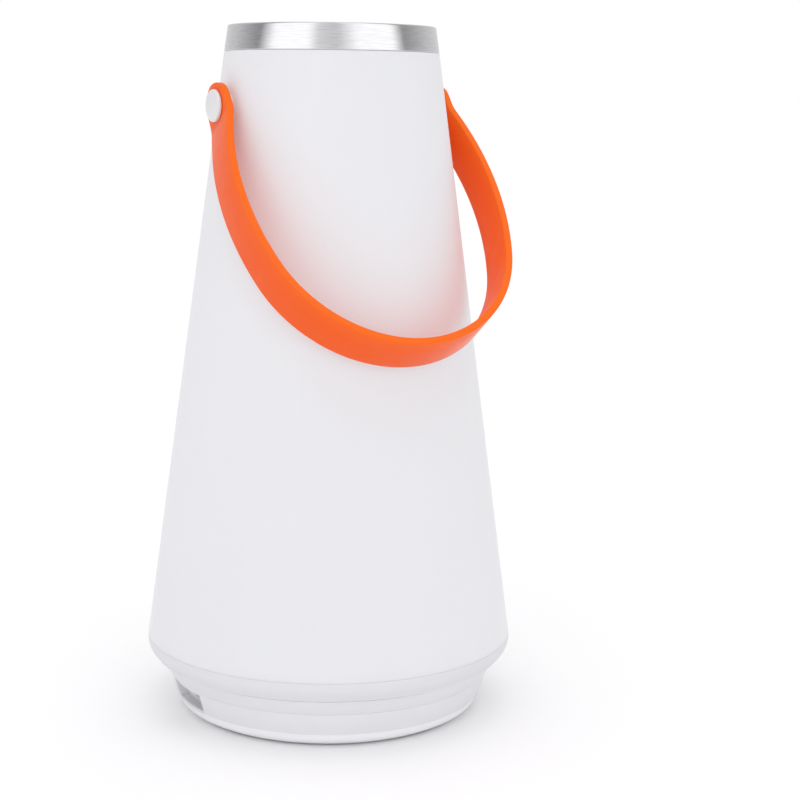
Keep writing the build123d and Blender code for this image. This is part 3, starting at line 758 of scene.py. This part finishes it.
def strap_section(half_width):
    """Rounded rectangle across the strap: (outwards, along the width) offsets in millimetres."""
    corner_steps = 4
    radius = min(STRAP_EDGE_RADIUS, half_width * 0.9)
    points = []
    for sign_out, sign_wide, start in ((1, 1, 0), (-1, 1, 90), (-1, -1, 180), (1, -1, 270)):
        for step in range(corner_steps + 1):
            angle = radians(start + 90 * step / corner_steps)
            out = sign_out * (STRAP_THICKNESS / 2 - STRAP_EDGE_RADIUS) + STRAP_EDGE_RADIUS * cos(angle)
            wide = sign_wide * (half_width - radius) + radius * sin(angle)
            points.append((out, wide))
    return points


def build_strap():
    """Moulded strap: one rounded strip from tab to tab, pierced for the rivets.

    Its rear edge swells a little at the neck below each rivet.
    """
    least_reach = 0.02
    sharp_degrees = 50
    hole_radius = 2.06
    hole_end = 60.0
    right = strap_path()
    stations = [(x, y, heading, 1) for x, y, heading in right]
    stations += [(-x, y, heading, -1) for x, y, heading in reversed(right[:-1])]
    tilt = Matrix.Rotation(radians(90 - STRAP_TILT), 3, "X")
    verts = []
    faces = []
    rows = len(strap_section(1.0))
    for x, y, heading, side in stations:
        reach = sqrt(max((STRAP_WIDTH / 2) ** 2 - max(y, 0.0) ** 2, least_reach ** 2))
        swell = NECK_SWELL * exp(-((y + NECK_MIDDLE) / NECK_REACH) ** 2)
        for out, wide in strap_section(reach):
            wide -= swell if wide < 0 else 0.0
            local = Vector((x + side * out * cos(heading), y + out * sin(heading), wide))
            verts.append(tilt @ local + Vector((0, 0, PIVOT_Z)))
    for station in range(len(stations) - 1):
        for row in range(rows):
            beyond = (row + 1) % rows
            faces.append((station * rows + row, (station + 1) * rows + row,
                          (station + 1) * rows + beyond, station * rows + beyond))
    faces.append(tuple(range(rows)))
    faces.append(tuple(range(len(verts) - 1, len(verts) - rows - 1, -1)))
    strap = mesh_object("strap_band", verts, faces, sharp_degrees)
    hole = lathe("hole", [
        (0.0, -hole_end, 0.0),
        (hole_radius, -hole_end, 0.0),
        (hole_radius, hole_end, 0.0),
        (0.0, hole_end, 0.0),
    ], steps=48, along="X", origin=(0, 0, PIVOT_Z))
    cut(strap, hole)
    finish_shading(strap, sharp_degrees)
    piece(strap, "strap_tpu", "strap", "strap")


build_shade()
build_ring()
build_cap()
build_housing()
build_foot()
build_rivets()
build_strap()

# ---------------------------------------------------------------- studio

CAMERA_TURN = radians(-30.0)
CAMERA_BACK = 0.522
CAMERA_ASIDE = 0.0209
CAMERA_HEIGHT = 0.1818
CAMERA_PITCH = 0.1684
CAMERA_ROLL = 0.0118
CAMERA_LENS = 79.4
EVEN_LIGHT = 0.86
FRONT_BIAS = 0.5
MIRROR_STOPS = [
    (-180, 0.74), (-125, 0.57), (-83, 0.26), (-63, 1.15), (-24, 1.15), (-12, 0.68), (8, 0.60),
    (22, 0.9), (30, 1.12), (71, 1.15), (86, 0.29), (130, 0.58), (180, 0.74),
]
MIRROR_BLUE = 1.01
SUN_WIDTH = radians(75)
BOX_SIZE = 0.9
LIGHT_TARGET = Vector((0, 0, 0.1))


def build_camera():
    """Camera in front and to the left, a little below the ring's height."""
    data = bpy.data.cameras.new("camera")
    data.lens = CAMERA_LENS
    data.sensor_width = 36.0
    data.clip_start = 0.01
    data.clip_end = 50.0
    camera = bpy.data.objects.new("camera", data)
    bpy.context.scene.collection.objects.link(camera)
    spin = Matrix.Rotation(CAMERA_TURN, 4, "Z")
    where = spin @ Vector((CAMERA_ASIDE, -CAMERA_BACK, CAMERA_HEIGHT))
    tilt = Matrix.Rotation(pi / 2 - CAMERA_PITCH, 4, "X")
    roll = Matrix.Rotation(CAMERA_ROLL, 4, "Z")
    camera.matrix_world = Matrix.Translation(where) @ spin @ tilt @ roll
    bpy.context.scene.camera = camera


def build_world():
    """White studio: even light, stronger in front, and softboxes with dark gaps in what metal reflects."""
    world = bpy.data.worlds.new("studio")
    bpy.context.scene.world = world
    world.use_nodes = True
    tree = world.node_tree
    tree.nodes.clear()

    def add(kind, **settings):
        node = tree.nodes.new(kind)
        for key, value in settings.items():
            setattr(node, key, value)
        return node

    coordinate = add("ShaderNodeTexCoord")
    turn = add("ShaderNodeMapping")
    turn.inputs["Rotation"].default_value = (0, 0, -CAMERA_TURN)
    tree.links.new(coordinate.outputs["Generated"], turn.inputs["Vector"])
    split = add("ShaderNodeSeparateXYZ")
    tree.links.new(turn.outputs["Vector"], split.inputs["Vector"])
    bearing = add("ShaderNodeMath", operation="ARCTAN2")
    flip = add("ShaderNodeMath", operation="MULTIPLY")
    flip.inputs[1].default_value = -1
    tree.links.new(split.outputs["Y"], flip.inputs[0])
    tree.links.new(split.outputs["X"], bearing.inputs[0])
    tree.links.new(flip.outputs["Value"], bearing.inputs[1])
    share = add("ShaderNodeMapRange")
    share.inputs["From Min"].default_value = -pi
    share.inputs["From Max"].default_value = pi
    tree.links.new(bearing.outputs["Value"], share.inputs["Value"])
    ramp = add("ShaderNodeValToRGB")
    elements = ramp.color_ramp.elements
    elements[0].position = 0.0
    elements[1].position = 1.0
    for degrees_round, _ in MIRROR_STOPS[1:-1]:
        elements.new((degrees_round + 180) / 360)
    for element, (_, level) in zip(elements, MIRROR_STOPS):
        element.color = (level, level, level * MIRROR_BLUE, 1)
    tree.links.new(share.outputs["Result"], ramp.inputs["Fac"])

    path = add("ShaderNodeLightPath")
    seen = add("ShaderNodeBackground")
    seen.inputs["Color"].default_value = (1, 1, 1, 1)
    seen.inputs["Strength"].default_value = 1.0
    even = add("ShaderNodeBackground")
    even.inputs["Color"].default_value = (0.99, 0.985, 1.0, 1)
    front = add("ShaderNodeMapRange")
    front.inputs["From Min"].default_value = -1.0
    front.inputs["From Max"].default_value = 1.0
    front.inputs["To Min"].default_value = EVEN_LIGHT * (1 + FRONT_BIAS)
    front.inputs["To Max"].default_value = EVEN_LIGHT * (1 - FRONT_BIAS)
    tree.links.new(split.outputs["Y"], front.inputs["Value"])
    tree.links.new(front.outputs["Result"], even.inputs["Strength"])
    mirrored = add("ShaderNodeBackground")
    tree.links.new(ramp.outputs["Color"], mirrored.inputs["Color"])
    glossy_mix = add("ShaderNodeMixShader")
    tree.links.new(path.outputs["Is Glossy Ray"], glossy_mix.inputs[0])
    tree.links.new(even.outputs[0], glossy_mix.inputs[1])
    tree.links.new(mirrored.outputs[0], glossy_mix.inputs[2])
    camera_mix = add("ShaderNodeMixShader")
    tree.links.new(path.outputs["Is Camera Ray"], camera_mix.inputs[0])
    tree.links.new(glossy_mix.outputs[0], camera_mix.inputs[1])
    tree.links.new(seen.outputs[0], camera_mix.inputs[2])
    output = add("ShaderNodeOutputWorld")
    tree.links.new(camera_mix.outputs[0], output.inputs["Surface"])


def build_lights():
    """Very soft light from above and from the front, hidden from mirror reflections."""
    spin = Matrix.Rotation(CAMERA_TURN, 3, "Z")
    for name, kind, place, strength in (
        ("overhead", "SUN", (0.0, 0.5, 1.3), 0.80),
        ("front_box", "AREA", (0.0, -1.3, 0.5), 0.6),
    ):
        data = bpy.data.lights.new(name, kind)
        data.energy = strength
        if kind == "SUN":
            data.angle = SUN_WIDTH
        else:
            data.shape = "SQUARE"
            data.size = BOX_SIZE
        light = bpy.data.objects.new(name, data)
        bpy.context.scene.collection.objects.link(light)
        light.location = spin @ Vector(place)
        light.rotation_mode = "QUATERNION"
        light.rotation_quaternion = (LIGHT_TARGET - light.location).to_track_quat("-Z", "Y")
        light.visible_glossy = False


def build_floor():
    """Plain pale floor."""
    size = 6000
    corners = [(-size, -size, 0), (size, -size, 0), (size, size, 0), (-size, size, 0)]
    floor = mesh_object("floor", corners, [(0, 1, 2, 3)])
    m = Nodes("floor_paper")
    m.set(Specular_IOR_Level=0.1)
    m.colour(m.mix(m.spread(m.noise(6, 3), 0, 1), (0.95, 0.95, 0.95), (0.965, 0.965, 0.965)))
    m.roughness(m.spread(m.noise(20, 3), 0.8, 0.9))
    floor.data.materials.append(m.material)


build_camera()
build_world()
build_lights()
build_floor()
bpy.context.scene.view_settings.view_transform = "Standard"
